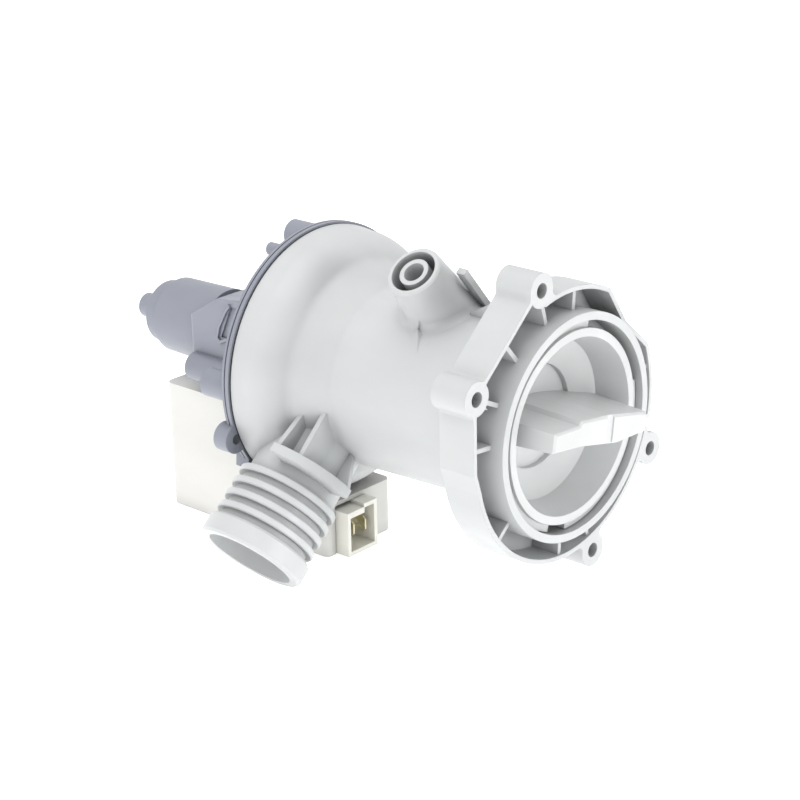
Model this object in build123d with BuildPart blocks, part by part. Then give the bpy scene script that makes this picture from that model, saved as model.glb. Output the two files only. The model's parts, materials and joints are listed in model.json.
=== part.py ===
from build123d import *

import os
from math import cos, radians, sin

# Washer drain pump with a filter insert that turns and pulls out at the front.
# The pump axis is Y, the front with the filter cap faces -Y, and +Z is up.
# The origin is on the pump axis, in the plane of the mounting bosses' front faces.
# All lengths are in millimetres and all angles in degrees.

# General clearances
fit_gap = 0.05
slip_gap = 0.15
free_gap = 0.3
overrun = 2.0

# Mounting bosses
boss_circle_r = 53.3
boss_angles = (106, 154, -26, -74)
boss_r = 6.0
boss_hole_r = 2.6
boss_blend_r = 2.0

# Skirt round the collar
skirt_r = 48.4
skirt_wall = 1.6
skirt_depth = 14.5
back_plate_wall = 2.2
web_reach = 50.4
web_angle = 131
side_flat_x = 49.6
side_flat_low = 3.0
side_blend_angle = 192
pinch_r = 43.0
pinch_reach = 9.6
pinch_angles = ((42, 6, 76), (-15.5, -20.5, -10.5))
rib_wall = 1.6
rib_front = 1.0
rib_angles = (85, 106, 131, 154, 174, 220, 266, 286, 334, 10)

# Collar that takes the filter cap
collar_reach = 4.0
collar_r = 40.0
collar_bore_r = 37.1
collar_bore_depth = 9.0
mouth_r = 33.2

# Filter chamber, cone and dome
barrel_end = 78.0
chamber_r = 29.6
cone_end_r = 40.0
cone_end = 93.0
shoulder_r = 48.8
shoulder_end = 106.0
shoulder_rise = 2.4
rim_r = 49.4
rim_end = 111.7
housing_wall = 2.6
cover_seat_wall = 2.1
crease_r = 5.0

# Ribbed hose connector
connector_y = 94.0
connector_angle = 222
connector_foot = 28.0
connector_neck_r = 16.8
connector_bore_r = 14.3
connector_plate_start = 46.0
connector_plate_wall = 3.4
connector_plate_r = 24.5
connector_ribs_start = 54.0
connector_rib_r = 19.3
connector_groove_r = 17.1
connector_rib_wall = 2.6
connector_rib_pitch = 5.1
connector_rib_count = 4
connector_rib_edge = 0.4
connector_tip_r = 20.0
connector_tip_length = 7.8
connector_tip_edge = 1.0
connector_mouth_r = 16.3
connector_mouth_depth = 12.0
gusset_wall = 2.0
gusset_foot_half_width = 19.8
rear_gusset_setback = 5.0
middle_gusset_setback = 13.5
front_gusset_setback = 17.5

# Small upper spigot, a conical sleeve round an inner tube
spigot_y = 51.3
spigot_angle = 129.5
spigot_offset = -16.3
spigot_foot = 20.0
spigot_lip = 50.3
spigot_foot_r = 12.7
spigot_lip_r = 9.9
spigot_lip_edge = 0.6
spigot_blend_r = 2.5
sleeve_bore_r = 8.1
sleeve_bore_depth = 16.0
spigot_tube_r = 5.4
spigot_bore_r = 3.7
spigot_mouth_r = 5.2
spigot_bore_start = 31.5
spigot_tube_recess = 0.5

# Clip fin beside the spigot and gusset behind the back plate
clip_y = 41.0
clip_offset = -25.6
clip_foot = 20.0
clip_tip = 41.0
clip_wall = 2.4
clip_width = 3.6
back_gusset_angle = 97
back_gusset_height = 13.5
back_gusset_length = 24.0

# Gasket and motor flange
gasket_wall = 0.6
gasket_width = 2.5
flange_r = 50.2
flange_wall = 3.2
flange_groove = 0.5

# Screw towers, screws and their bosses inside the dome
tower_inset = 1.1
tower_angles = (88, 181.5, 358)
tower_r = 5.2
tower_length = 12.7
screw_r = 1.9
screw_head_r = 3.8
screw_head_length = 2.4
screw_seat_wall = 2.6
screw_reach = 8.0
screw_boss_r = 3.3
screw_boss_length = 10.5

# Small lugs on the flange's rim
nub_spot_r = 47.3
nub_angle = 112
nub_r = 2.4
nub_length = 5.5
eye_spot_r = 50.6
eye_angle = 201.5
eye_r = 5.4
eye_hole_r = 2.0
eye_wall = 3.2
tab_angles = (209, 217, 228)
tab_reach = 52.6

# Rotor can
can_bore_r = 12.2
can_wall = 1.0
can_r = 15.3
can_end_r = 14.7
can_wide_start = 47.0
can_end_wall = 3.5
can_edge = 1.5
rear_seat_r = 9.5
can_ring_r = 12.3
can_ring_length = 6.5
can_nose_r = 4.8
can_nose_length = 12.5
nose_edge = 0.8

# Shroud round the stator poles, with a lobe along each side
shroud_half_width = 17.5
shroud_low = -5.0
shroud_top = 20.2
shroud_flat_length = 24.0
shroud_slope_length = 35.7
shroud_slope_top = 18.6
shroud_steep_length = 49.3
shroud_steep_top = 10.3
shroud_rear_top = 8.8
shroud_rear_gap = 5.5
shroud_edge = 2.0
lobe_x = 18.0
lobe_z = -10.3
lobe_r = 5.6
lobe_length = 48.5
side_recess_depth = 0.9
side_recess_low = 4.0
side_recess_top = 17.0
side_recess_start = 4.0
side_recess_end_low = 34.0
side_recess_end_top = 28.0
side_rib_wall = 1.2
side_rib_rise = 0.8
side_rib_length = 35.7
side_rib_top = 17.6
side_rib_shares = (
    (0.7899, 1),
    (0.8599, 0.8239),
    (0.9608, 0.4716),
    (1, 0.2045),
    (0.958, 0.1136),
    (0.8487, 0.2273),
)

# Stator iron
stack_setback = 11.5
stack_depth = 34.0
pole_inner_x = 2.5
pole_outer_x = 15.3
pole_low = -16.0
pole_top = 11.0
leg_inner_x = 5.0
leg_outer_x = 12.0
yoke_top = -63.0
yoke_low = -69.5
rivet_r = 1.3
yoke_rivet_x = 8.5
yoke_rivet_z = -66.2
pole_rivet_x = 12.2
pole_rivet_z = -13.4

# Coils
bobbin_wall = 0.8
bobbin_flange_wall = 1.2
bobbin_flange_margin = 0.4
bobbin_top = -23.2
bobbin_low_gap = 0.4
winding_wall = 2.5
winding_edge = 2.0

# White coil cover with its forward box for the terminals
cover_wall = 1.4
cover_side_gap = 0.5
cover_front_gap = 1.7
cover_rear_gap = 7.5
cover_top_gap = 0.8
cover_low_gap = 1.1
cover_edge = 3.0
cover_bottom_edge = 1.2
nose_length = 22.5
nose_top_gap = 0.4

# Thermal protector behind the coils
protector_width = 14.0
protector_depth = 8.0
protector_height = 20.0
protector_drop = 9.0

# Terminal block and blades
block_x = -5.0
block_width = 16.0
block_reach = 6.2
block_depth = 13.0
block_top_gap = 1.8
block_low_gap = 0.9
block_wall = 1.6
block_back_wall = 2.0
block_key_width = 7.6
block_key_height = 2.0
block_step_width = 9.0
block_step_height = 1.3
blade_pitch = 6.3
blade_width = 6.3
blade_wall = 0.8
blade_recess = 1.5
blade_length = 19.0
blade_tip_edge = 1.2
blade_hole_r = 0.9
blade_hole_setback = 3.8

# Filter cap
cap_setback = 1.6
cap_seat_gap = 0.6
cap_rim_r = 34.1
cap_cup_r = 31.1
cap_floor = 10.0
cap_floor_r = 28.5
cap_floor_wall = 2.5
cap_dish_depth = 4.0
cap_step_r = 18.4
cap_step_depth = 2.0
cap_neck_gap = 0.4
cap_lug_setback = 1.4
cap_lug_wall = 3.4
cap_lug_angles = (75, -95)
cap_lug_sweep_angles = (175, 105)
handle_length = 51.6
handle_half_height = 6.3
handle_reach = 14.0
handle_angle = -8.4
handle_edge = 0.7
handle_band_x = 2.6
handle_band_width = 3.8
handle_band_depth = 0.5
handle_taper = -2.5
handle_shares = (
    (-1, -0.41),
    (-0.45, -0.38),
    (0.39, -0.67),
    (1, -0.41),
    (1, 0.67),
    (0.16, 1),
    (-0.45, 1),
    (-0.49, 0.78),
    (-1, 0.63),
)
stub_r = 5.0
stub_length = 6.5
seal_r = 0.95
seal_y = 8.8
seal_groove_width = 2.2

# Filter basket
basket_gap = 1.8
basket_wall = 2.0
basket_rear_gap = 7.2
basket_end_wall = 2.4
basket_hub_r = 8.5
basket_window_count = 6
basket_window_width = 20.0
basket_window_start = 8.0
basket_window_length = 40.0

# Impeller chamber cover with the suction eye
chamber_cover_start = 80.0
chamber_cover_wall = 3.0
chamber_cover_r = 31.9
eye_bore_r = 13.0
eye_lip_wall = 2.0
eye_lip_length = 5.0

# Shaft, magnet and bearings
shaft_r = 3.0
shaft_front_reach = 1.0
shaft_rear_reach = 1.0
bearing_r = 6.5
front_bearing_setback = 0.5
front_bearing_length = 8.0
rear_bearing_length = 7.0
cushion_margin = 0.6
holder_flange_wall = 3.0
holder_flange_r = 17.0
holder_plug_length = 9.5
holder_seal_setback = 2.9
holder_seal_width = 2.0
holder_seal_depth = 1.2
lip_seal_setback = 0.3
lip_seal_length = 3.0
magnet_gap = 0.9
magnet_overhang = 2.0
rotor_rear_gap = 13.3
magnet_end_gap = 0.3
magnet_end_wall = 2.0

# Impeller and its free-play clutch
impeller_gap = 0.8
hub_r = 9.0
hub_length = 16.5
hub_front_wall = 5.0
hub_cap_wall = 1.0
hub_cap_plug = 1.6
blade_count = 6
vane_r = 24.0
vane_wall = 1.8
vane_tip_setback = 6.0
vane_knee_r = 18.0
vane_knee_setback = 2.0
vane_length = 14.0
impeller_disc_wall = 1.4
dog_ring_r = 4.6
dog_r = 6.9
dog_gap = 1.0
dog_angle = 335
dog_sweep_angle = 60
stop_angle = 230
stop_sweep_angle = 80
cushion_sweep_angle = 20

# Places that follow from the sizes above: collar, ports and flange
collar_front = -collar_reach
pinch_far_r = skirt_r + pinch_reach
barrel_front_r = chamber_r + housing_wall
barrel_rear_r = chamber_cover_r + cover_seat_wall
cap_ledge = collar_front + collar_bore_depth
back_plate_front = skirt_depth - back_plate_wall
skirt_mid_r = skirt_r - skirt_wall / 2
collar_mid_r = (collar_r + collar_bore_r) / 2
connector_tip_start = connector_ribs_start + connector_rib_count * connector_rib_pitch
connector_end = connector_tip_start + connector_tip_length
plate_middle = connector_plate_start + connector_plate_wall / 2
spigot_tube_end = spigot_lip - spigot_tube_recess
chamber_cover_rear = chamber_cover_start + chamber_cover_wall
flange_front = rim_end + gasket_wall
flange_rear = flange_front + flange_wall
screw_seat = flange_front + screw_seat_wall
tower_circle_r = flange_r - tower_r - tower_inset

# Filter insert
cap_front = collar_front + cap_setback
cap_ring = cap_floor + cap_dish_depth
cap_disc = cap_ring + cap_step_depth
cap_rear = cap_disc + cap_floor_wall
cap_neck_end = cap_floor + cap_floor_wall
cap_neck_r = mouth_r - cap_neck_gap
seal_groove_r = mouth_r - 2 * (seal_r + fit_gap)
mouth_end = cap_neck_end + free_gap
basket_front = cap_rear + free_gap
basket_rear = chamber_cover_start - basket_rear_gap
basket_r = chamber_r - basket_gap

# Rotor can, shaft and bearings
stack_start = flange_rear + stack_setback
stack_end = stack_start + stack_depth
stack_mid = stack_start + stack_depth / 2
magnet_r = can_bore_r - magnet_gap
magnet_end_r = magnet_r - magnet_end_gap
magnet_start = stack_start - magnet_overhang
magnet_end = stack_end + magnet_overhang
can_neck_r = can_bore_r + can_wall
rear_seat_start = magnet_end + magnet_end_wall + rotor_rear_gap
shroud_end = stack_end + shroud_rear_gap
rear_bearing_start = rear_seat_start + cushion_margin + fit_gap
rear_bearing_end = rear_bearing_start + rear_bearing_length
rear_seat_end = rear_bearing_end + 2 * shaft_rear_reach
can_end = rear_seat_end + can_end_wall
shaft_end = rear_bearing_end + shaft_rear_reach
holder_front = flange_front - holder_flange_wall
holder_seal_start = flange_front + holder_seal_setback
lip_seal_start = holder_front + lip_seal_setback
front_bearing_start = flange_front + front_bearing_setback

# Impeller and clutch
hub_end = holder_front - impeller_gap - hub_cap_wall
impeller_front = hub_end - hub_length
shaft_start = impeller_front - shaft_front_reach
cavity_start = impeller_front + hub_front_wall
hub_cavity_r = dog_r + free_gap
dog_start = cavity_start + dog_gap
dog_length = hub_end - hub_cap_plug - dog_gap - dog_start
clutch_inner_r = dog_ring_r + free_gap
vane_end = impeller_front + vane_length

# Stator, coils and their cover
leg_x = (leg_inner_x + leg_outer_x) / 2
bobbin_low = yoke_top + bobbin_low_gap
bobbin_bore_x = leg_outer_x - leg_inner_x + 2 * slip_gap
bobbin_bore_y = stack_depth + 2 * slip_gap
coil_build = bobbin_wall + winding_wall + bobbin_flange_margin
cover_half_width = leg_x + bobbin_bore_x / 2 + coil_build + cover_side_gap + cover_wall
cover_front = stack_mid - bobbin_bore_y / 2 - coil_build - cover_front_gap - cover_wall
protector_front = stack_mid + bobbin_bore_y / 2 + coil_build + fit_gap
cover_rear = protector_front + protector_depth + cover_rear_gap + cover_wall
cover_top = bobbin_top + cover_top_gap + cover_wall
cover_low = yoke_low - cover_low_gap - cover_wall
nose_front = cover_front - nose_length
nose_top = -flange_r - nose_top_gap
block_front = nose_front - block_reach
block_rear = block_front + block_depth
block_top = nose_top - block_top_gap
block_low = cover_low + block_low_gap
block_z = (block_top + block_low) / 2


def across(y):
    """Plane across the pump axis at y: its x is +X, its y is +Z and it faces the front."""
    return Plane.XZ.offset(-y)


def spot(radius, angle):
    """Point at a radius and angle on a plane across the pump axis."""
    return (radius * cos(radians(angle)), radius * sin(radians(angle)))


def port_plane(y, angle, offset=0):
    """Plane of the pump axis and a port: its x is +Y and its y points outward along the port."""
    sideways = Vector(-sin(radians(angle)), 0, cos(radians(angle)))
    facing = Vector(sin(radians(angle)), 0, -cos(radians(angle)))
    return Plane(origin=Vector(0, y, 0) + sideways * offset, x_dir=(0, 1, 0), z_dir=facing)


def bulge(start, end, rise):
    """Point beside the middle of a chord, for an arc that rises to its right."""
    run, climb = end[0] - start[0], end[1] - start[1]
    length = (run**2 + climb**2) ** 0.5
    middle = ((start[0] + end[0]) / 2, (start[1] + end[1]) / 2)
    return (middle[0] + climb / length * rise, middle[1] - run / length * rise)


def turned(points, mode=Mode.ADD):
    """Turn a closed outline of (radius, y) points about the pump axis."""
    with BuildSketch(Plane.XY) as outline:
        with BuildLine():
            Polyline(*points, close=True)
        make_face()
    revolve(outline.sketch, axis=Axis.Y, mode=mode)


def tube(inner, outer, start, end, mode=Mode.ADD):
    """Plain ring about the pump axis."""
    turned([(inner, start), (outer, start), (outer, end), (inner, end)], mode)


def turned_port(points, plane, mode=Mode.ADD):
    """Turn a closed outline of (radius, distance) points about a port's own axis."""
    with BuildSketch(plane) as outline:
        with BuildLine():
            Polyline(*points, close=True)
        make_face()
    revolve(outline.sketch, axis=Axis(plane.origin, plane.y_dir), mode=mode)


def posts(radius, start, end, spots=((0, 0),), mode=Mode.ADD):
    """Round posts along the pump axis from one y to another."""
    with BuildSketch(across(start)) as circles:
        with Locations(*spots):
            Circle(radius)
    extrude(circles.sketch, amount=start - end, mode=mode)


def sector(inner, outer, start, sweep):
    """Sketch of a ring's sector between two radii."""
    with BuildSketch() as piece:
        with BuildLine():
            CenterArc((0, 0), outer, start, sweep)
            CenterArc((0, 0), inner, start, sweep)
            Line(spot(inner, start), spot(outer, start))
            Line(spot(inner, start + sweep), spot(outer, start + sweep))
        make_face()
    return piece.sketch_local


def mirrored(x, z):
    """The same spot on both sides of the pump axis."""
    return ((x, z), (-x, z))


boss_spots = [spot(boss_circle_r, angle) for angle in boss_angles]
tower_spots = [spot(tower_circle_r, angle) for angle in tower_angles]
web_span = 2 * boss_circle_r * sin(radians((boss_angles[1] - boss_angles[0]) / 2))

# Outline of the skirt: a circle with a straight web between the two upper bosses, a flat
# towards the left one and two pinches where it comes in to the collar
with BuildSketch() as skirt_outline:
    Circle(skirt_r)
    Rectangle(web_reach, web_span, rotation=web_angle, align=(Align.MIN, Align.CENTER))
    Polygon(
        (0, 0),
        (-side_flat_x, boss_spots[1][1]),
        (-side_flat_x, -side_flat_low),
        spot(skirt_r, side_blend_angle),
        align=None,
    )
    for pinch_angle, low_angle, high_angle in pinch_angles:
        Polygon(
            spot(pinch_r, pinch_angle),
            spot(pinch_far_r, low_angle),
            spot(2 * pinch_far_r, pinch_angle),
            spot(pinch_far_r, high_angle),
            align=None,
            mode=Mode.SUBTRACT,
        )


def on_boss(corner):
    """Whether a corner lies on a mounting boss, where the boss meets the skirt."""
    place = Vector(corner.X, corner.Y)
    return any(
        abs((place - Vector(*center)).length - boss_r) < fit_gap and abs(corner.Y - center[1]) > fit_gap
        for center in boss_spots
    )


# The same outline with the mounting bosses blended into it
with BuildSketch() as boss_outline:
    add(skirt_outline.sketch)
    with Locations(*boss_spots):
        Circle(boss_r)
    fillet(boss_outline.vertices().filter_by(on_boss), radius=boss_blend_r)

# Room inside the skirt's wall
with BuildSketch() as skirt_room:
    add(skirt_outline.sketch)
    offset(amount=-skirt_wall, kind=Kind.INTERSECTION, mode=Mode.REPLACE)

connector_plane = port_plane(connector_y, connector_angle)
spigot_plane = port_plane(spigot_y, spigot_angle, spigot_offset)

with BuildPart() as pump_housing:
    # Collar, barrel, cone and dome, with soft creases at both ends of the cone
    with BuildSketch(Plane.XY) as body_profile:
        with BuildLine():
            Polyline(
                (rim_r, rim_end),
                (0, rim_end),
                (0, collar_front),
                (collar_r, collar_front),
                (collar_r, skirt_depth),
                (barrel_front_r, skirt_depth),
                (barrel_rear_r, barrel_end),
                (cone_end_r, cone_end),
            )
            ThreePointArc(
                (cone_end_r, cone_end),
                bulge((cone_end_r, cone_end), (shoulder_r, shoulder_end), shoulder_rise),
                (shoulder_r, shoulder_end),
            )
            Line((shoulder_r, shoulder_end), (rim_r, rim_end))
        make_face()
        corners = body_profile.vertices()
        creases = corners.filter_by_position(Axis.Y, barrel_end - overrun, cone_end + overrun)
        fillet(creases, radius=crease_r)
    revolve(axis=Axis.Y)
    # Conical sleeve of the spigot, blended into the barrel
    turned_port(
        [
            (0, spigot_foot),
            (spigot_foot_r, spigot_foot),
            (spigot_lip_r, spigot_lip - spigot_lip_edge),
            (spigot_lip_r - spigot_lip_edge, spigot_lip),
            (0, spigot_lip),
        ],
        spigot_plane,
    )
    fillet(pump_housing.edges(Select.NEW).sort_by(SortBy.LENGTH)[-1], radius=spigot_blend_r)
    # Skirt wall, back plate and mounting bosses
    with BuildSketch(across(0)):
        add(boss_outline.sketch_local)
        add(skirt_room.sketch_local, mode=Mode.SUBTRACT)
    extrude(amount=-skirt_depth)
    with BuildSketch(across(back_plate_front)):
        add(boss_outline.sketch_local)
    extrude(amount=-back_plate_wall)
    posts(boss_r, 0, skirt_depth, boss_spots)
    # Ribs between the collar and the skirt
    with BuildSketch(across(rib_front)):
        for angle in rib_angles:
            with Locations(spot(collar_mid_r, angle)):
                Rectangle(
                    skirt_mid_r - collar_mid_r + (web_reach - skirt_r) * (angle == web_angle),
                    rib_wall,
                    rotation=angle,
                    align=(Align.MIN, Align.CENTER),
                )
    extrude(amount=rib_front - skirt_depth)
    # Gusset behind the back plate and clip fin beside the spigot
    with BuildSketch(port_plane(skirt_depth, back_gusset_angle)):
        Polygon(
            (-back_plate_wall / 2, barrel_front_r - housing_wall / 2),
            (-back_plate_wall / 2, barrel_front_r + back_gusset_height),
            (back_plate_wall, barrel_front_r + back_gusset_height),
            (back_gusset_length, barrel_front_r + housing_wall / 2),
            (back_gusset_length, barrel_front_r - housing_wall / 2),
            align=None,
        )
    extrude(amount=gusset_wall / 2, both=True)
    with BuildSketch(port_plane(clip_y, spigot_angle, clip_offset)):
        with Locations((0, clip_foot)):
            Rectangle(clip_width, clip_tip - clip_foot, align=(Align.CENTER, Align.MIN))
    extrude(amount=clip_wall / 2, both=True)
    # Ribbed connector
    connector_outline = [
        (0, connector_foot),
        (connector_neck_r, connector_foot),
        (connector_neck_r, connector_ribs_start),
    ]
    for index in range(connector_rib_count):
        rib_start = connector_ribs_start + index * connector_rib_pitch
        rib_end = rib_start + connector_rib_wall
        connector_outline += [
            (connector_rib_r - connector_rib_edge, rib_start),
            (connector_rib_r, rib_start + connector_rib_edge),
            (connector_rib_r, rib_end - connector_rib_edge),
            (connector_rib_r - connector_rib_edge, rib_end),
            (connector_groove_r, rib_end),
            (connector_groove_r, rib_start + connector_rib_pitch),
        ]
    connector_outline += [
        (connector_tip_r - connector_tip_edge, connector_tip_start),
        (connector_tip_r, connector_tip_start + connector_tip_edge),
        (connector_tip_r, connector_end - connector_tip_edge),
        (connector_tip_r - connector_tip_edge, connector_end),
        (0, connector_end),
    ]
    turned_port(connector_outline, connector_plane)
    # Half plate round the connector, on its upper side
    plate_origin = connector_plane.origin + connector_plane.y_dir * connector_plate_start
    with BuildSketch(Plane(origin=plate_origin, x_dir=(0, 1, 0), z_dir=connector_plane.y_dir)):
        Circle(connector_plate_r)
        with Locations((-rear_gusset_setback + gusset_wall / 2, gusset_wall / 2)):
            Rectangle(
                connector_plate_r,
                connector_plate_r + gusset_wall,
                align=(Align.MAX, Align.MAX),
                mode=Mode.INTERSECT,
            )
    extrude(amount=connector_plate_wall)
    # Gussets from the plate to the cone, two across the axis and one along it
    for setback in (rear_gusset_setback, middle_gusset_setback):
        half_width = (connector_plate_r**2 - setback**2) ** 0.5 - gusset_wall / 2
        with BuildSketch(across(connector_y - setback)):
            Polygon(
                (connector_foot, 0),
                (connector_foot, -gusset_foot_half_width),
                (plate_middle, -half_width),
                (plate_middle, 0),
                rotation=connector_angle,
                align=None,
            )
        extrude(amount=gusset_wall / 2, both=True)
    with BuildSketch(connector_plane):
        Polygon(
            (-connector_plate_r, plate_middle),
            (-front_gusset_setback, barrel_rear_r - housing_wall / 2),
            (-middle_gusset_setback, barrel_rear_r - housing_wall / 2),
            (-middle_gusset_setback, plate_middle),
            align=None,
        )
    extrude(amount=gusset_wall / 2, both=True)
    # Hollow of the collar, the chamber and the dome
    inner_cone = (cone_end_r - housing_wall, cone_end + housing_wall / 2)
    inner_shoulder = (shoulder_r - housing_wall, shoulder_end)
    with BuildSketch(Plane.XY):
        with BuildLine():
            Polyline(
                (rim_r - housing_wall, rim_end),
                (0, rim_end),
                (0, collar_front),
                (collar_bore_r, collar_front),
                (collar_bore_r, collar_front + collar_bore_depth),
                (mouth_r, collar_front + collar_bore_depth),
                (mouth_r, mouth_end),
                (chamber_r, mouth_end),
                (chamber_r, chamber_cover_start),
                (chamber_cover_r, chamber_cover_start),
                (chamber_cover_r, chamber_cover_rear),
                inner_cone,
            )
            ThreePointArc(
                inner_cone,
                bulge(inner_cone, inner_shoulder, shoulder_rise),
                inner_shoulder,
            )
            Line(inner_shoulder, (rim_r - housing_wall, rim_end))
        make_face()
    revolve(axis=Axis.Y, mode=Mode.SUBTRACT)
    # Bores of the connector and the spigot
    turned_port(
        [
            (0, connector_foot),
            (connector_bore_r, connector_foot),
            (connector_bore_r, connector_end - connector_mouth_depth),
            (connector_mouth_r, connector_end),
            (0, connector_end),
        ],
        connector_plane,
        Mode.SUBTRACT,
    )
    turned_port(
        [
            (spigot_tube_r, spigot_lip - sleeve_bore_depth),
            (sleeve_bore_r, spigot_lip - sleeve_bore_depth),
            (sleeve_bore_r, spigot_lip),
            (0, spigot_lip),
            (0, spigot_tube_end),
            (spigot_tube_r, spigot_tube_end),
        ],
        spigot_plane,
        Mode.SUBTRACT,
    )
    turned_port(
        [
            (0, 0),
            (spigot_mouth_r, 0),
            (spigot_mouth_r, spigot_bore_start),
            (spigot_bore_r, spigot_bore_start),
            (spigot_bore_r, spigot_lip),
            (0, spigot_lip),
        ],
        spigot_plane,
        Mode.SUBTRACT,
    )
    # Bosses inside the dome for the flange screws, and all screw holes
    posts(screw_boss_r, rim_end - screw_boss_length, rim_end, tower_spots)
    posts(screw_r + fit_gap, rim_end - screw_reach - free_gap, rim_end, tower_spots, Mode.SUBTRACT)
    posts(boss_hole_r, -overrun, skirt_depth + overrun, boss_spots, Mode.SUBTRACT)
pump_housing.part.label = "pump_housing"

with BuildPart() as housing_gasket:
    tube(rim_r - gasket_width, rim_r, rim_end, flange_front)
housing_gasket.part.label = "housing_gasket"

with BuildPart() as chamber_cover:
    turned(
        [
            (eye_bore_r, chamber_cover_start + fit_gap),
            (chamber_cover_r - slip_gap, chamber_cover_start + fit_gap),
            (chamber_cover_r - slip_gap, chamber_cover_rear),
            (eye_bore_r + eye_lip_wall, chamber_cover_rear),
            (eye_bore_r + eye_lip_wall, chamber_cover_rear + eye_lip_length),
            (eye_bore_r, chamber_cover_rear + eye_lip_length),
        ]
    )
chamber_cover.part.label = "impeller_chamber_cover"


def pole_outline(gap):
    """Section of the two pole pieces beside the rotor can, grown by a gap."""
    with BuildSketch() as outline:
        with Locations(*mirrored((pole_inner_x + pole_outer_x) / 2, (pole_low + pole_top) / 2)):
            Rectangle(pole_outer_x - pole_inner_x + 2 * gap, pole_top - pole_low + 2 * gap)
        Circle(can_neck_r + slip_gap - gap, mode=Mode.SUBTRACT)
    return outline.sketch_local


with BuildPart() as motor_flange:
    # Disc with a groove round its rim
    tube(0, flange_r, flange_front, flange_rear)
    tube(
        flange_r - flange_groove,
        flange_r + overrun,
        flange_front + flange_wall / 2,
        flange_front + flange_wall / 2 + flange_groove,
        Mode.SUBTRACT,
    )
    # Shroud over the stator poles
    with BuildSketch(Plane.YZ):
        Polygon(
            (flange_rear, shroud_low),
            (flange_rear, shroud_top),
            (flange_rear + shroud_flat_length, shroud_top),
            (flange_rear + shroud_slope_length, shroud_slope_top),
            (flange_rear + shroud_steep_length, shroud_steep_top),
            (shroud_end, shroud_rear_top),
            (shroud_end, shroud_low),
            align=None,
        )
    extrude(amount=shroud_half_width, both=True)
    fillet(motor_flange.edges().filter_by(Axis.Z).group_by(Axis.Y)[-1], radius=shroud_edge)
    # Lobes along both sides
    posts(lobe_r, flange_rear, flange_rear + lobe_length, mirrored(lobe_x, lobe_z))
    # Can of the rotor with its stepped end
    turned(
        [
            (0, flange_front),
            (can_neck_r, flange_front),
            (can_neck_r, flange_rear + can_wide_start),
            (can_r, flange_rear + can_wide_start),
            (can_end_r, can_end - can_edge),
            (can_end_r - can_edge, can_end),
            (can_ring_r, can_end),
            (can_ring_r, can_end + can_ring_length - nose_edge),
            (can_ring_r - nose_edge, can_end + can_ring_length),
            (can_nose_r, can_end + can_ring_length),
            (can_nose_r, can_end + can_ring_length + can_nose_length - nose_edge),
            (can_nose_r - nose_edge, can_end + can_ring_length + can_nose_length),
            (0, can_end + can_ring_length + can_nose_length),
        ]
    )
    # Screw towers and small lugs on the rim
    posts(tower_r, flange_rear, flange_rear + tower_length, tower_spots)
    posts(nub_r, flange_rear, flange_rear + nub_length, [spot(nub_spot_r, nub_angle)])
    posts(eye_r, flange_rear - eye_wall, flange_rear + eye_wall, [spot(eye_spot_r, eye_angle)])
    with BuildSketch(across(flange_front)):
        Polygon(
            spot(flange_r - flange_wall, tab_angles[0]),
            spot(tab_reach, tab_angles[1]),
            spot(flange_r - flange_wall, tab_angles[2]),
            align=None,
        )
    extrude(amount=-2 * flange_wall)
    # Recess in each side of the shroud, with a raised rib along its rear edge
    for side in (-1, 1):
        with BuildSketch(Plane.YZ.offset(side * (shroud_half_width - side_recess_depth))):
            Polygon(
                (flange_rear + side_recess_start, side_recess_low),
                (flange_rear + side_recess_end_low, side_recess_low),
                (flange_rear + side_recess_end_top, side_recess_top),
                (flange_rear + side_recess_start, side_recess_top),
                align=None,
            )
        extrude(amount=side * side_recess_depth, mode=Mode.SUBTRACT)
        with BuildSketch(Plane.YZ.offset(side * (shroud_half_width - side_recess_depth))):
            with BuildLine():
                Polyline(
                    *[
                        (flange_rear + side_rib_length * y_share, side_rib_top * z_share)
                        for y_share, z_share in side_rib_shares
                    ]
                )
            trace(line_width=side_rib_wall)
        extrude(amount=side * (side_recess_depth + side_rib_rise))
    # Pocket for the pole pieces
    with BuildSketch(across(stack_start - slip_gap)):
        add(pole_outline(slip_gap))
    extrude(amount=-(stack_depth + 2 * slip_gap), mode=Mode.SUBTRACT)
    # Bore for the rotor and its rear bearing
    turned(
        [
            (0, flange_front),
            (can_bore_r, flange_front),
            (can_bore_r, rear_seat_start),
            (rear_seat_r, rear_seat_start),
            (rear_seat_r, rear_seat_end),
            (0, rear_seat_end),
        ],
        Mode.SUBTRACT,
    )
    # Screw holes, sunk in the towers
    tower_end = flange_rear + tower_length
    posts(screw_r + slip_gap, flange_front - overrun, tower_end, tower_spots, Mode.SUBTRACT)
    posts(
        screw_head_r + slip_gap,
        screw_seat,
        flange_rear + tower_length + overrun,
        tower_spots,
        Mode.SUBTRACT,
    )
    posts(
        eye_hole_r,
        flange_front - overrun,
        flange_rear + 2 * eye_wall,
        [spot(eye_spot_r, eye_angle)],
        Mode.SUBTRACT,
    )
motor_flange.part.label = "motor_flange"

with BuildPart() as flange_screws:
    posts(screw_r, rim_end - screw_reach, screw_seat + screw_head_length / 2, tower_spots)
    posts(screw_head_r, screw_seat, screw_seat + screw_head_length, tower_spots)
flange_screws.part.label = "flange_screws"

with BuildPart() as bearing_holder:
    plug_end = flange_front + holder_plug_length
    turned(
        [
            (bearing_r + fit_gap, holder_front),
            (holder_flange_r, holder_front),
            (holder_flange_r, flange_front),
            (can_bore_r - slip_gap, flange_front),
            (can_bore_r - slip_gap, holder_seal_start),
            (can_bore_r - holder_seal_depth, holder_seal_start),
            (can_bore_r - holder_seal_depth, holder_seal_start + holder_seal_width),
            (can_bore_r - slip_gap, holder_seal_start + holder_seal_width),
            (can_bore_r - slip_gap, plug_end),
            (bearing_r + fit_gap, plug_end),
        ]
    )
bearing_holder.part.label = "bearing_holder"

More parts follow.
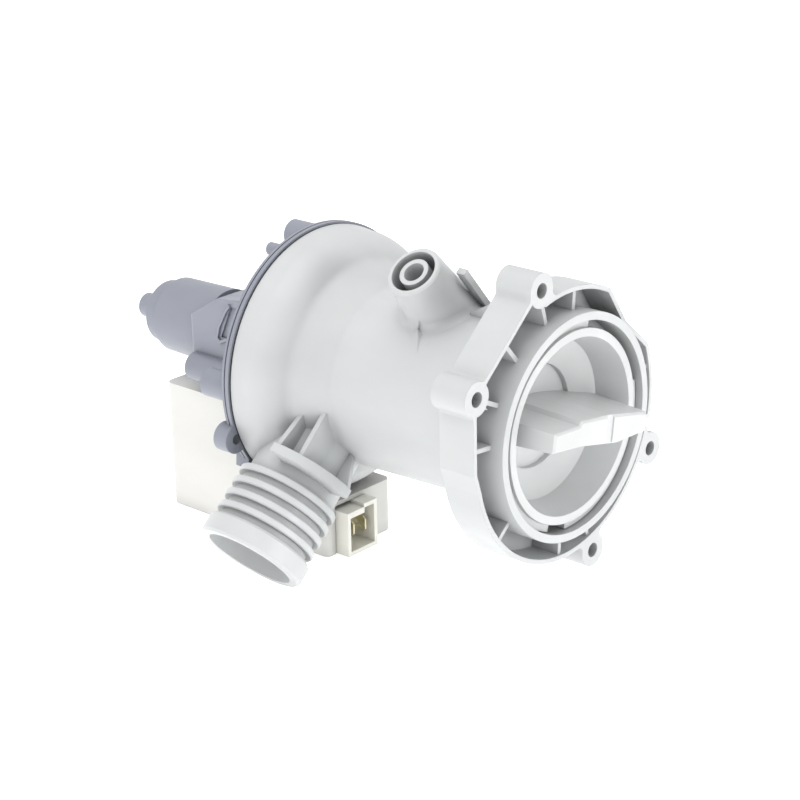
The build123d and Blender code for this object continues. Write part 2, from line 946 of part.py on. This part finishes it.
with BuildPart() as holder_seal:
    tube(
        can_bore_r - holder_seal_depth + fit_gap,
        can_bore_r - fit_gap,
        holder_seal_start + fit_gap,
        holder_seal_start + holder_seal_width - fit_gap,
    )
holder_seal.part.label = "bearing_holder_seal"

with BuildPart() as lip_seal:
    tube(shaft_r + fit_gap, bearing_r, lip_seal_start, lip_seal_start + lip_seal_length)
lip_seal.part.label = "shaft_lip_seal"

with BuildPart() as front_bearing:
    tube(
        shaft_r + fit_gap,
        bearing_r,
        front_bearing_start,
        front_bearing_start + front_bearing_length,
    )
front_bearing.part.label = "front_bearing"

with BuildPart() as rear_bearing:
    tube(shaft_r + fit_gap, bearing_r, rear_bearing_start, rear_bearing_end)
rear_bearing.part.label = "rear_bearing"

with BuildPart() as bearing_cushion:
    tube(
        bearing_r + fit_gap,
        rear_seat_r - fit_gap,
        rear_bearing_start - cushion_margin,
        rear_bearing_end + cushion_margin,
    )
bearing_cushion.part.label = "rear_bearing_cushion"

with BuildPart() as rotor_shaft:
    posts(shaft_r, shaft_start, shaft_end)
    chamfer(rotor_shaft.edges(), length=shaft_r / 6)
rotor_shaft.part.label = "rotor_shaft"

with BuildPart() as rotor_magnet:
    tube(shaft_r + fit_gap, magnet_r, magnet_start, magnet_end)
rotor_magnet.part.label = "rotor_magnet"

with BuildPart() as magnet_end_discs:
    tube(shaft_r + fit_gap, magnet_end_r, magnet_start - magnet_end_wall, magnet_start)
    tube(shaft_r + fit_gap, magnet_end_r, magnet_end, magnet_end + magnet_end_wall)
magnet_end_discs.part.label = "magnet_end_discs"

with BuildPart() as clutch_dog:
    tube(shaft_r + fit_gap, dog_ring_r, dog_start, dog_start + dog_length)
    with BuildSketch(across(dog_start)):
        add(sector((shaft_r + dog_ring_r) / 2, dog_r, dog_angle, dog_sweep_angle))
    extrude(amount=-dog_length)
clutch_dog.part.label = "clutch_dog"

with BuildPart() as impeller:
    # Hub and the disc behind the vanes
    posts(hub_r, impeller_front, hub_end)
    tube(0, vane_r, vane_end - impeller_disc_wall, vane_end)
    for index in range(blade_count):
        with BuildSketch(port_plane(0, index * 360 / blade_count)) as vane:
            Polygon(
                (impeller_front, hub_r / 2),
                (impeller_front + vane_knee_setback, vane_knee_r),
                (impeller_front + vane_tip_setback, vane_r),
                (vane_end, vane_r),
                (vane_end, hub_r / 2),
                align=None,
            )
        extrude(amount=vane_wall / 2, both=True)
    # Cavity of the clutch with its stop, and the shaft's bore
    posts(hub_cavity_r, cavity_start, hub_end, mode=Mode.SUBTRACT)
    posts(shaft_r + fit_gap, impeller_front - overrun, cavity_start, mode=Mode.SUBTRACT)
    with BuildSketch(across(cavity_start - fit_gap)):
        add(sector(clutch_inner_r, (hub_cavity_r + hub_r) / 2, stop_angle, stop_sweep_angle))
    extrude(amount=-(hub_end - hub_cap_plug - cavity_start))
impeller.part.label = "impeller"

with BuildPart() as hub_cap:
    turned(
        [
            (shaft_r + fit_gap, hub_end - hub_cap_plug + fit_gap),
            (hub_cavity_r - slip_gap, hub_end - hub_cap_plug + fit_gap),
            (hub_cavity_r - slip_gap, hub_end),
            (hub_r, hub_end),
            (hub_r, hub_end + hub_cap_wall),
            (shaft_r + fit_gap, hub_end + hub_cap_wall),
        ]
    )
hub_cap.part.label = "impeller_hub_cap"

with BuildPart() as clutch_cushions:
    with BuildSketch(across(dog_start)):
        for start in (stop_angle - cushion_sweep_angle, stop_angle + stop_sweep_angle):
            add(sector(clutch_inner_r, hub_cavity_r - 2 * fit_gap, start, cushion_sweep_angle))
    extrude(amount=-dog_length)
clutch_cushions.part.label = "clutch_cushions"

with BuildPart() as stator_poles:
    with BuildSketch(across(stack_start)):
        add(pole_outline(0))
        with Locations(*mirrored(pole_rivet_x, pole_rivet_z)):
            Circle(rivet_r + fit_gap, mode=Mode.SUBTRACT)
    extrude(amount=-stack_depth)
stator_poles.part.label = "stator_poles"

with BuildPart() as stator_yoke:
    with BuildSketch(across(stack_start)):
        with Locations(*mirrored((leg_inner_x + leg_outer_x) / 2, (pole_low + yoke_low) / 2)):
            Rectangle(leg_outer_x - leg_inner_x, pole_low - yoke_low)
        with Locations((0, (yoke_top + yoke_low) / 2)):
            Rectangle(2 * leg_outer_x, yoke_top - yoke_low)
        with Locations(*mirrored(yoke_rivet_x, yoke_rivet_z)):
            Circle(rivet_r + fit_gap, mode=Mode.SUBTRACT)
    extrude(amount=-stack_depth)
stator_yoke.part.label = "stator_yoke"

with BuildPart() as core_rivets:
    posts(rivet_r, stack_start, stack_end, mirrored(pole_rivet_x, pole_rivet_z))
    posts(rivet_r, stack_start, stack_end, mirrored(yoke_rivet_x, yoke_rivet_z))
core_rivets.part.label = "core_rivets"


def coil_section(grow):
    """Width across and length along of the bobbin's bore, grown all round."""
    return (bobbin_bore_x + 2 * grow, bobbin_bore_y + 2 * grow)


def coil_bobbin(x):
    """Bobbin on one leg: a tube with a flange at each end."""
    with BuildPart() as bobbin:
        with BuildSketch(Plane.XY.offset(bobbin_low)):
            with Locations((x, stack_mid)):
                Rectangle(*coil_section(bobbin_wall))
                Rectangle(bobbin_bore_x, bobbin_bore_y, mode=Mode.SUBTRACT)
        extrude(amount=bobbin_top - bobbin_low)
        for level in (bobbin_low, bobbin_top - bobbin_flange_wall):
            with BuildSketch(Plane.XY.offset(level)):
                with Locations((x, stack_mid)):
                    Rectangle(*coil_section(coil_build))
                    Rectangle(bobbin_bore_x, bobbin_bore_y, mode=Mode.SUBTRACT)
            extrude(amount=bobbin_flange_wall)
    return bobbin.part


def coil_winding(x):
    """Copper winding between the bobbin's flanges."""
    with BuildPart() as winding:
        with BuildSketch(Plane.XY.offset(bobbin_low + bobbin_flange_wall)):
            with Locations((x, stack_mid)):
                RectangleRounded(*coil_section(bobbin_wall + winding_wall), winding_edge)
                Rectangle(*coil_section(bobbin_wall + fit_gap), mode=Mode.SUBTRACT)
        extrude(amount=bobbin_top - bobbin_low - 2 * bobbin_flange_wall)
    return winding.part


with BuildPart() as coil_cover:
    # Deep box under the motor and the lower box in front of it
    with BuildSketch(Plane.XY.offset(cover_low)):
        with Locations((0, cover_front)):
            Rectangle(
                2 * cover_half_width,
                cover_rear - cover_front,
                align=(Align.CENTER, Align.MIN),
            )
    extrude(amount=cover_top - cover_low)
    with BuildSketch(Plane.XY.offset(cover_low)):
        with Locations((0, nose_front)):
            Rectangle(
                2 * cover_half_width,
                cover_front - nose_front + cover_wall,
                align=(Align.CENTER, Align.MIN),
            )
    extrude(amount=nose_top - cover_low)
    outer_corners = coil_cover.edges().filter_by(Axis.Z)
    fillet(outer_corners.group_by(Axis.Y)[0] + outer_corners.group_by(Axis.Y)[-1], radius=cover_edge)
    fillet(coil_cover.faces().sort_by(Axis.Z)[0].edges(), radius=cover_bottom_edge)
    # Hollow of both boxes
    with BuildSketch(Plane.XY.offset(cover_low + cover_wall)):
        with Locations((0, cover_front + cover_wall)):
            Rectangle(
                2 * (cover_half_width - cover_wall),
                cover_rear - cover_front - 2 * cover_wall,
                align=(Align.CENTER, Align.MIN),
            )
    extrude(amount=cover_top - cover_low - 2 * cover_wall, mode=Mode.SUBTRACT)
    with BuildSketch(Plane.XY.offset(cover_low + cover_wall)):
        with Locations((0, nose_front + cover_wall)):
            Rectangle(
                2 * (cover_half_width - cover_wall),
                cover_front - nose_front + cover_wall,
                align=(Align.CENTER, Align.MIN),
            )
    extrude(amount=nose_top - cover_low - 2 * cover_wall, mode=Mode.SUBTRACT)
    # Openings for the iron's legs and the terminal block
    with BuildSketch(Plane.XY.offset(cover_top - 2 * cover_wall)):
        with Locations(*mirrored(leg_x, stack_mid)):
            Rectangle(bobbin_bore_x, bobbin_bore_y)
    extrude(amount=3 * cover_wall, mode=Mode.SUBTRACT)
    with BuildSketch(across(nose_front - overrun)):
        with Locations((block_x, block_top + slip_gap)):
            Rectangle(
                block_width + 2 * slip_gap,
                block_top - cover_low + overrun,
                align=(Align.CENTER, Align.MAX),
            )
    extrude(amount=nose_front - overrun - block_rear, mode=Mode.SUBTRACT)
coil_cover.part.label = "coil_cover"

with BuildPart() as thermal_protector:
    with BuildSketch(Plane.XY.offset(bobbin_top - protector_drop - protector_height)):
        with Locations((0, protector_front)):
            Rectangle(protector_width, protector_depth, align=(Align.CENTER, Align.MIN))
    extrude(amount=protector_height)
    fillet(thermal_protector.edges().filter_by(Axis.Z), radius=protector_depth / 4)
thermal_protector.part.label = "thermal_protector"

with BuildPart() as terminal_block:
    with BuildSketch(across(block_front)):
        with Locations((block_x, block_z)):
            Rectangle(block_width, block_top - block_low)
        with Locations((block_x - block_width / 2, block_top)):
            Rectangle(
                block_step_width,
                block_step_height,
                align=(Align.MIN, Align.MAX),
                mode=Mode.SUBTRACT,
            )
    extrude(amount=-block_depth)
    # Socket, with a key in its upper left corner
    with BuildSketch(across(block_front)):
        with Locations((block_x, block_z)):
            Rectangle(block_width - 2 * block_wall, block_top - block_low - 2 * block_wall)
        with Locations((block_x - block_width / 2, block_top)):
            Rectangle(
                block_wall + block_key_width,
                block_wall + block_key_height,
                align=(Align.MIN, Align.MAX),
                mode=Mode.SUBTRACT,
            )
    extrude(amount=block_back_wall - block_depth, mode=Mode.SUBTRACT)
    # Slots for the blades in the back wall
    with BuildSketch(across(block_rear - block_back_wall - overrun)):
        with Locations((block_x - blade_pitch / 2, block_z), (block_x + blade_pitch / 2, block_z)):
            Rectangle(blade_wall + 2 * fit_gap, blade_width + 2 * fit_gap)
    extrude(amount=-block_back_wall - 2 * overrun, mode=Mode.SUBTRACT)
terminal_block.part.label = "terminal_block"


def terminal_blade(x):
    """Flat push-on terminal with a narrowed tip and a small hole."""
    tip = block_front + blade_recess
    with BuildPart() as blade:
        with BuildSketch(Plane.YZ.offset(x - blade_wall / 2)):
            Polygon(
                (tip, block_z - blade_width / 2 + blade_tip_edge),
                (tip + blade_tip_edge, block_z - blade_width / 2),
                (tip + blade_length, block_z - blade_width / 2),
                (tip + blade_length, block_z + blade_width / 2),
                (tip + blade_tip_edge, block_z + blade_width / 2),
                (tip, block_z + blade_width / 2 - blade_tip_edge),
                align=None,
            )
            with Locations((tip + blade_hole_setback, block_z)):
                Circle(blade_hole_r, mode=Mode.SUBTRACT)
        extrude(amount=blade_wall)
    return blade.part


with BuildPart() as filter_cap:
    # Cup, rim and neck, with the seal's groove and the stub that carries the basket
    turned(
        [
            (0, cap_disc),
            (cap_step_r, cap_disc),
            (cap_step_r, cap_ring),
            (cap_floor_r, cap_floor),
            (cap_cup_r, cap_front),
            (cap_rim_r, cap_front),
            (cap_rim_r, cap_ledge - cap_seat_gap),
            (cap_neck_r, cap_ledge - cap_seat_gap),
            (cap_neck_r, seal_y - seal_groove_width / 2),
            (seal_groove_r, seal_y - seal_groove_width / 2),
            (seal_groove_r, seal_y + seal_groove_width / 2),
            (cap_neck_r, seal_y + seal_groove_width / 2),
            (cap_neck_r, cap_neck_end),
            (chamber_r - 2 * free_gap, cap_neck_end),
            (cap_step_r + cap_floor_wall, cap_rear),
            (stub_r, cap_rear),
            (stub_r, cap_rear + stub_length),
            (0, cap_rear + stub_length),
        ]
    )
    # Bayonet lugs
    with BuildSketch(across(cap_front + cap_lug_setback)):
        for start, sweep in zip(cap_lug_angles, cap_lug_sweep_angles):
            add(sector((cap_cup_r + cap_rim_r) / 2, collar_bore_r - free_gap, start, sweep))
    extrude(amount=-cap_lug_wall)
    # Handle bar across the cup, with a shallow band over its front
    handle_run = (cos(radians(handle_angle)), 0, sin(radians(handle_angle)))
    handle_plane = Plane(origin=(0, -handle_reach, 0), x_dir=handle_run, z_dir=(0, -1, 0))
    with BuildSketch(handle_plane):
        Polygon(*[(handle_length / 2 * x, handle_half_height * z) for x, z in handle_shares], align=None)
    extrude(amount=-handle_reach - cap_disc - cap_floor_wall / 2, taper=handle_taper)
    front_face = filter_cap.faces().sort_by(Axis.Y)[0]
    chamfer(front_face.edges(), length=handle_edge)
    with BuildSketch(handle_plane):
        with Locations((handle_band_x, 0)):
            Rectangle(handle_band_width, 3 * handle_half_height, align=(Align.MIN, Align.CENTER))
    extrude(amount=-handle_band_depth, mode=Mode.SUBTRACT)
filter_cap.part.label = "filter_cap"

with BuildPart() as cap_seal:
    with BuildSketch(Plane.XY):
        with Locations((mouth_r - fit_gap - seal_r, seal_y)):
            Circle(seal_r)
    revolve(axis=Axis.Y)
cap_seal.part.label = "filter_cap_seal"

with BuildPart() as filter_basket:
    # Cage with tall windows, a hub round the cap's stub and a closed rear end
    tube(0, basket_r, basket_front, basket_rear)
    tube(
        0,
        basket_r - basket_wall,
        basket_front + basket_end_wall,
        basket_rear - basket_end_wall,
        Mode.SUBTRACT,
    )
    posts(basket_hub_r, basket_front, basket_front + stub_length + basket_end_wall)
    posts(stub_r + fit_gap, basket_front - overrun, basket_front + stub_length, mode=Mode.SUBTRACT)
    for index in range(basket_window_count):
        with BuildSketch(port_plane(basket_front + basket_window_start, index * 360 / basket_window_count)):
            with Locations((0, basket_r - 2 * basket_wall)):
                Rectangle(basket_window_length, 3 * basket_wall, align=(Align.MIN, Align.MIN))
        extrude(amount=basket_window_width / 2, both=True, mode=Mode.SUBTRACT)
filter_basket.part.label = "filter_basket"

pieces = [
    pump_housing.part,
    housing_gasket.part,
    chamber_cover.part,
    motor_flange.part,
    flange_screws.part,
    bearing_holder.part,
    holder_seal.part,
    lip_seal.part,
    front_bearing.part,
    rear_bearing.part,
    bearing_cushion.part,
    rotor_shaft.part,
    rotor_magnet.part,
    magnet_end_discs.part,
    clutch_dog.part,
    impeller.part,
    hub_cap.part,
    clutch_cushions.part,
    stator_poles.part,
    stator_yoke.part,
    core_rivets.part,
    coil_cover.part,
    thermal_protector.part,
    terminal_block.part,
    filter_cap.part,
    cap_seal.part,
    filter_basket.part,
]
for name, side in (("left", -1), ("right", 1)):
    bobbin = coil_bobbin(side * leg_x)
    bobbin.label = f"{name}_coil_bobbin"
    winding = coil_winding(side * leg_x)
    winding.label = f"{name}_coil_winding"
    blade = terminal_blade(block_x + side * blade_pitch / 2)
    blade.label = f"{name}_terminal_blade"
    pieces += [bobbin, winding, blade]

os.makedirs("parts", exist_ok=True)
for piece in pieces:
    export_step(piece, f"parts/{piece.label}.step")
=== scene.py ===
import json
from math import cos, radians, sin

import bmesh
import bpy
from mathutils import Matrix, Vector


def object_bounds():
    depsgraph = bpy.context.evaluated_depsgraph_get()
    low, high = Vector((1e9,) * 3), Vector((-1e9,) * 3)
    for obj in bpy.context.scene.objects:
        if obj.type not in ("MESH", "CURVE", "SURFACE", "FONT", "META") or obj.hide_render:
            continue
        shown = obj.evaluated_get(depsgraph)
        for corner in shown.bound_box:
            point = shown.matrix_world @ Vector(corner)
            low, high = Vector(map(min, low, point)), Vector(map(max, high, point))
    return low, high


# Washer drain pump on a pale floor, seen from the front left and a little above.
# Lengths are in metres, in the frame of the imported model: +Y runs along the pump axis
# from the filter cap to the motor's end, and +Z is up.
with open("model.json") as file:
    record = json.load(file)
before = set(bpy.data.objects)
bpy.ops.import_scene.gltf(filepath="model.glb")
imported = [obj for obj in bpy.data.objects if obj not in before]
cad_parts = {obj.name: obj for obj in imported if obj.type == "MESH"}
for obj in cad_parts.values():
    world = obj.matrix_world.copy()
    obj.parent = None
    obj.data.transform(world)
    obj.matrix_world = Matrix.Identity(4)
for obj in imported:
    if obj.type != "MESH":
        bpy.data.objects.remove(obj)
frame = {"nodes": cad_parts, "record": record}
nodes = frame["nodes"]
cad_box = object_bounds()
mm = 0.001

# The photograph's camera, solved from the round edges of the pump
camera_target = Vector((-36.96, 42.67, 9.98)) * mm
camera_azimuth = -47.98
camera_elevation = 20.76
camera_roll = -1.17
camera_distance = 725.8 * mm
camera_lens = 97.4
camera_sensor = 36.0

# Colours, as linear light
housing_white = (0.575, 0.587, 0.592)
cap_white = (0.62, 0.63, 0.632)
flange_grey = (0.27, 0.285, 0.335)
impeller_grey = (0.04, 0.043, 0.05)
cover_white = (0.71, 0.705, 0.675)
block_ivory = (0.92, 0.91, 0.83)
bobbin_cream = (0.72, 0.70, 0.60)
case_black = (0.02, 0.02, 0.022)
rubber_black = (0.018, 0.018, 0.018)
copper = (0.60, 0.22, 0.09)
brass = (0.78, 0.72, 0.50)
bronze = (0.34, 0.21, 0.10)
steel = (0.55, 0.56, 0.57)
iron = (0.16, 0.16, 0.165)
ferrite = (0.018, 0.018, 0.02)
floor_white = (0.93, 0.93, 0.93)

# Studio: the floor, the sky's strength in front and behind, and how far the shade painted into grooves
# and corners reaches
floor_half_size = 6.0
floor_cloud = 0.25
floor_glow = 0.6
sky_way = (-0.3, 0.95, 0)
sky_front = 0.4
sky_back = 1.1
# Reach of the shade painted into the colour in grooves and corners
painted_shade_reach = 6 * mm

# Softboxes: place from the pump's middle, edge and power
softboxes = {
    "top_box": (Vector((-0.1, 0.0, 1.1)), 1.2, 7.5),
    "left_box": (Vector((-1.2, 0.1, 0.35)), 0.9, 0.4),
    "front_box": (Vector((0.05, -1.4, 0.2)), 0.35, 6.5),
}

# Sizes of the surface patterns
flow_size = 22 * mm
scuff_size = 3.5 * mm
moulded_grain = 0.25 * mm
moulded_depth = 0.006 * mm
skin_depth = 1.5 * mm
dust_size = 1.2 * mm
rubber_grain = 0.3 * mm
rubber_depth = 0.02 * mm
mark_size = 0.5 * mm
mark_depth = 0.004 * mm
stain_size = 6 * mm
wire_pitch = 0.45 * mm
sheet_pitch = 0.5 * mm

# A wave texture of scale 1 repeats about every 0.314 metres, and noise mostly lies between these values
wave_length = 0.314
noise_low = 0.3
noise_high = 0.7


class Nodes:
    """Short hand for building one node material."""

    def __init__(self, name):
        self.material = bpy.data.materials.new(name)
        self.material.use_nodes = True
        self.tree = self.material.node_tree
        self.tree.nodes.clear()
        self.output = self.tree.nodes.new("ShaderNodeOutputMaterial")
        self.shader = self.tree.nodes.new("ShaderNodeBsdfPrincipled")
        self.join(self.shader.outputs[0], self.output.inputs["Surface"])
        self.place = self.tree.nodes.new("ShaderNodeTexCoord").outputs["Object"]

    def join(self, source, target):
        self.tree.links.new(source, target)

    def noise(self, size, detail=3.0, stretch=(1, 1, 1)):
        """Noise whose blobs are about this many metres across, stretched along the axes."""
        mapping = self.tree.nodes.new("ShaderNodeMapping")
        mapping.inputs["Scale"].default_value = [1 / (size * s) for s in stretch]
        self.join(self.place, mapping.inputs["Vector"])
        texture = self.tree.nodes.new("ShaderNodeTexNoise")
        texture.inputs["Scale"].default_value = 1.0
        texture.inputs["Detail"].default_value = detail
        self.join(mapping.outputs[0], texture.inputs["Vector"])
        return texture.outputs["Fac"]

    def bands(self, pitch, axis):
        """Fine bands across one axis, such as sheet edges or wire turns."""
        texture = self.tree.nodes.new("ShaderNodeTexWave")
        texture.wave_type = "BANDS"
        texture.bands_direction = axis
        texture.inputs["Scale"].default_value = wave_length / pitch
        texture.inputs["Distortion"].default_value = 0.3
        self.join(self.place, texture.inputs["Vector"])
        return texture.outputs["Fac"]

    def span(self, value, low, high):
        """Map a noise value onto a range."""
        node = self.tree.nodes.new("ShaderNodeMapRange")
        node.inputs["From Min"].default_value = noise_low
        node.inputs["From Max"].default_value = noise_high
        node.inputs["To Min"].default_value = low
        node.inputs["To Max"].default_value = high
        self.join(value, node.inputs["Value"])
        return node.outputs["Result"]

    def tint(self, value, first, second):
        """Colour that runs from one to another with a value."""
        node = self.tree.nodes.new("ShaderNodeMix")
        node.data_type = "RGBA"
        node.inputs["A"].default_value = (*first, 1)
        node.inputs["B"].default_value = (*second, 1)
        self.join(self.span(value, 0, 1), node.inputs["Factor"])
        return node.outputs["Result"]

    def painted_crease_shade(self, colour, share):
        """A colour with painted shade: up to this share of its light is taken away in grooves and
        corners.
        """
        # Painted shade: an occlusion node darkens the base colour where the surface is closed in
        painted_shade = self.tree.nodes.new("ShaderNodeAmbientOcclusion")
        painted_shade.samples = 8
        painted_shade.inputs["Distance"].default_value = painted_shade_reach
        keep = self.tree.nodes.new("ShaderNodeMapRange")
        keep.inputs["To Min"].default_value = 1 - share
        self.join(painted_shade.outputs["AO"], keep.inputs["Value"])
        dim = self.tree.nodes.new("ShaderNodeVectorMath")
        dim.operation = "SCALE"
        self.join(colour, dim.inputs[0])
        self.join(keep.outputs["Result"], dim.inputs["Scale"])
        return dim.outputs["Vector"]

    def bump(self, height, depth, edge=0.0):
        """Surface grain of a depth in metres, over edges softened by a small radius."""
        node = self.tree.nodes.new("ShaderNodeBump")
        node.inputs["Strength"].default_value = 1.0
        node.inputs["Distance"].default_value = depth
        self.join(height, node.inputs["Height"])
        if edge:
            soft = self.tree.nodes.new("ShaderNodeBevel")
            soft.samples = 4
            soft.inputs["Radius"].default_value = edge
            self.join(soft.outputs[0], node.inputs["Normal"])
        self.join(node.outputs[0], self.shader.inputs["Normal"])


def shaded(colour, factor):
    """The same colour, lighter or darker."""
    return tuple(min(1, c * factor) for c in colour)


def moulded(name, colour, rough=0.42, edge=0.35 * mm, variation=0.05, painted_shade=0.45):
    """Injection moulded plastic: faint flow marks, fine grain, softly rounded edges, and painted shade
    in grooves and corners.
    """
    look = Nodes(name)
    flow = look.noise(flow_size, detail=4.0, stretch=(1, 2.4, 1))
    grain = look.noise(moulded_grain, detail=2.0)
    scuff = look.noise(scuff_size, detail=6.0, stretch=(1, 3, 1))
    tint = look.tint(flow, shaded(colour, 1 - variation), shaded(colour, 1 + variation / 2))
    # Painted shade: the tinted colour is darkened in grooves and corners by up to the given share
    look.join(look.painted_crease_shade(tint, painted_shade), look.shader.inputs["Base Color"])
    look.join(look.span(scuff, rough - 0.06, rough + 0.07), look.shader.inputs["Roughness"])
    look.shader.inputs["IOR"].default_value = 1.5
    look.shader.inputs["Subsurface Weight"].default_value = 0.08
    look.shader.inputs["Subsurface Radius"].default_value = (1.0, 0.9, 0.8)
    look.shader.inputs["Subsurface Scale"].default_value = skin_depth
    look.bump(grain, moulded_depth, edge)
    return look.material


def rubber(name):
    """Black rubber with a dusty, slightly uneven skin."""
    look = Nodes(name)
    dust = look.noise(dust_size, detail=5.0)
    look.join(look.tint(dust, rubber_black, shaded(rubber_black, 2.2)), look.shader.inputs["Base Color"])
    look.join(look.span(dust, 0.62, 0.8), look.shader.inputs["Roughness"])
    look.bump(look.noise(rubber_grain), rubber_depth, 0.2 * mm)
    return look.material


def metal(name, colour, rough=0.3, stretch=(1, 1, 1), edge=0.15 * mm, pitch=None, axis="Y", tarnish=0.8):
    """Metal with drawn or ground marks, and sheet edges or wire turns where a pitch is given."""
    look = Nodes(name)
    marks = look.noise(mark_size, detail=4.0, stretch=stretch)
    stain = look.noise(stain_size, detail=4.0)
    look.shader.inputs["Metallic"].default_value = 1.0
    look.join(look.tint(stain, shaded(colour, tarnish), colour), look.shader.inputs["Base Color"])
    look.join(look.span(marks, rough - 0.08, rough + 0.1), look.shader.inputs["Roughness"])
    if pitch:
        look.bump(look.bands(pitch, axis), pitch / 6, edge)
    else:
        look.bump(marks, mark_depth, edge)
    return look.material


looks = {
    "housing_plastic": moulded("housing_plastic", housing_white),
    # The cap gets a smaller share of painted shade in its grooves
    "cap_plastic": moulded("cap_plastic", cap_white, rough=0.38, painted_shade=0.15),
    "flange_plastic": moulded("flange_plastic", flange_grey, rough=0.36, variation=0.08),
    "impeller_plastic": moulded("impeller_plastic", impeller_grey, rough=0.35),
    "cover_plastic": moulded("cover_plastic", cover_white, rough=0.45, edge=0.3 * mm),
    "block_plastic": moulded("block_plastic", block_ivory, rough=0.4, edge=0.2 * mm),
    "bobbin_plastic": moulded("bobbin_plastic", bobbin_cream, rough=0.5, edge=0.2 * mm),
    "disc_plastic": moulded("disc_plastic", bobbin_cream, rough=0.5, edge=0.2 * mm),
    "protector_case": moulded("protector_case", case_black, rough=0.45, edge=0.3 * mm),
    "seal_rubber": rubber("seal_rubber"),
    "copper_wire": metal("copper_wire", copper, rough=0.35, pitch=wire_pitch, axis="Z"),
    "blade_brass": metal("blade_brass", brass, rough=0.32, stretch=(1, 6, 1), edge=0.12 * mm),
    "screw_steel": metal("screw_steel", steel, rough=0.3),
    "rivet_steel": metal("rivet_steel", steel, rough=0.4),
    "shaft_steel": metal("shaft_steel", steel, rough=0.2, stretch=(1, 0.3, 1)),
    "iron_sheets": metal("iron_sheets", iron, rough=0.5, pitch=sheet_pitch, tarnish=0.6),
    "magnet_ferrite": metal("magnet_ferrite", ferrite, rough=0.5),
    "bearing_bronze": metal("bearing_bronze", bronze, rough=0.42),
}

for entry in frame["record"]["subparts"]:
    node = nodes[entry["node"]]
    node.data.materials.clear()
    node.data.materials.append(looks[entry["material_slot"]])


def pale_floor():
    """Plain white floor under the pump."""
    mesh = bpy.data.meshes.new("floor")
    builder = bmesh.new()
    bmesh.ops.create_grid(builder, x_segments=1, y_segments=1, size=floor_half_size)
    builder.to_mesh(mesh)
    builder.free()
    floor = bpy.data.objects.new("floor", mesh)
    floor.location.z = cad_box[0][2]
    bpy.context.collection.objects.link(floor)
    look = Nodes("floor_white")
    soft = look.noise(floor_cloud, detail=2.0)
    look.join(look.tint(soft, shaded(floor_white, 0.985), floor_white), look.shader.inputs["Base Color"])
    look.shader.inputs["Roughness"].default_value = 0.9
    look.shader.inputs["Emission Color"].default_value = (1, 1, 1, 1)
    look.shader.inputs["Emission Strength"].default_value = floor_glow
    mesh.materials.append(look.material)


def softbox(name, place, target, size, power):
    """Square area light that faces a point."""
    light = bpy.data.lights.new(name, "AREA")
    light.shape = "SQUARE"
    light.size = size
    light.energy = power
    lamp = bpy.data.objects.new(name, light)
    lamp.location = place
    lamp.rotation_euler = (target - place).to_track_quat("-Z", "Y").to_euler()
    bpy.context.collection.objects.link(lamp)


def studio():
    """Soft sky, weaker in front than behind, with a softbox above, at the left and in front."""
    world = bpy.data.worlds.new("studio")
    world.use_nodes = True
    tree = world.node_tree
    way = tree.nodes.new("ShaderNodeVectorMath")
    way.operation = "DOT_PRODUCT"
    way.inputs[1].default_value = sky_way
    tree.links.new(tree.nodes.new("ShaderNodeTexCoord").outputs["Generated"], way.inputs[0])
    strength = tree.nodes.new("ShaderNodeMapRange")
    strength.inputs["From Min"].default_value = -1
    strength.inputs["To Min"].default_value = sky_front
    strength.inputs["To Max"].default_value = sky_back
    tree.links.new(way.outputs["Value"], strength.inputs["Value"])
    tree.links.new(strength.outputs["Result"], tree.nodes["Background"].inputs["Strength"])
    tree.nodes["Background"].inputs["Color"].default_value = (1, 1, 1, 1)
    bpy.context.scene.world = world
    middle = (cad_box[0] + cad_box[1]) / 2
    for name, (place, size, power) in softboxes.items():
        softbox(name, middle + place, middle, size, power)


def photo_camera():
    """Camera where the photograph was taken from."""
    azimuth, elevation = radians(camera_azimuth), radians(camera_elevation)
    back = Vector((sin(azimuth) * cos(elevation), -cos(azimuth) * cos(elevation), sin(elevation)))
    right = Vector((cos(azimuth), sin(azimuth), 0))
    turn = Matrix.Rotation(radians(camera_roll), 3, back)
    right = turn @ right
    up = back.cross(right)
    camera = bpy.data.objects.new("camera", bpy.data.cameras.new("camera"))
    camera.data.lens = camera_lens
    camera.data.sensor_width = camera_sensor
    camera.matrix_world = Matrix.Translation(camera_target + back * camera_distance) @ Matrix(
        (right, up, back)
    ).transposed().to_4x4()
    bpy.context.collection.objects.link(camera)
    bpy.context.scene.camera = camera


pale_floor()
studio()
photo_camera()
bpy.context.scene.view_settings.view_transform = "Standard"
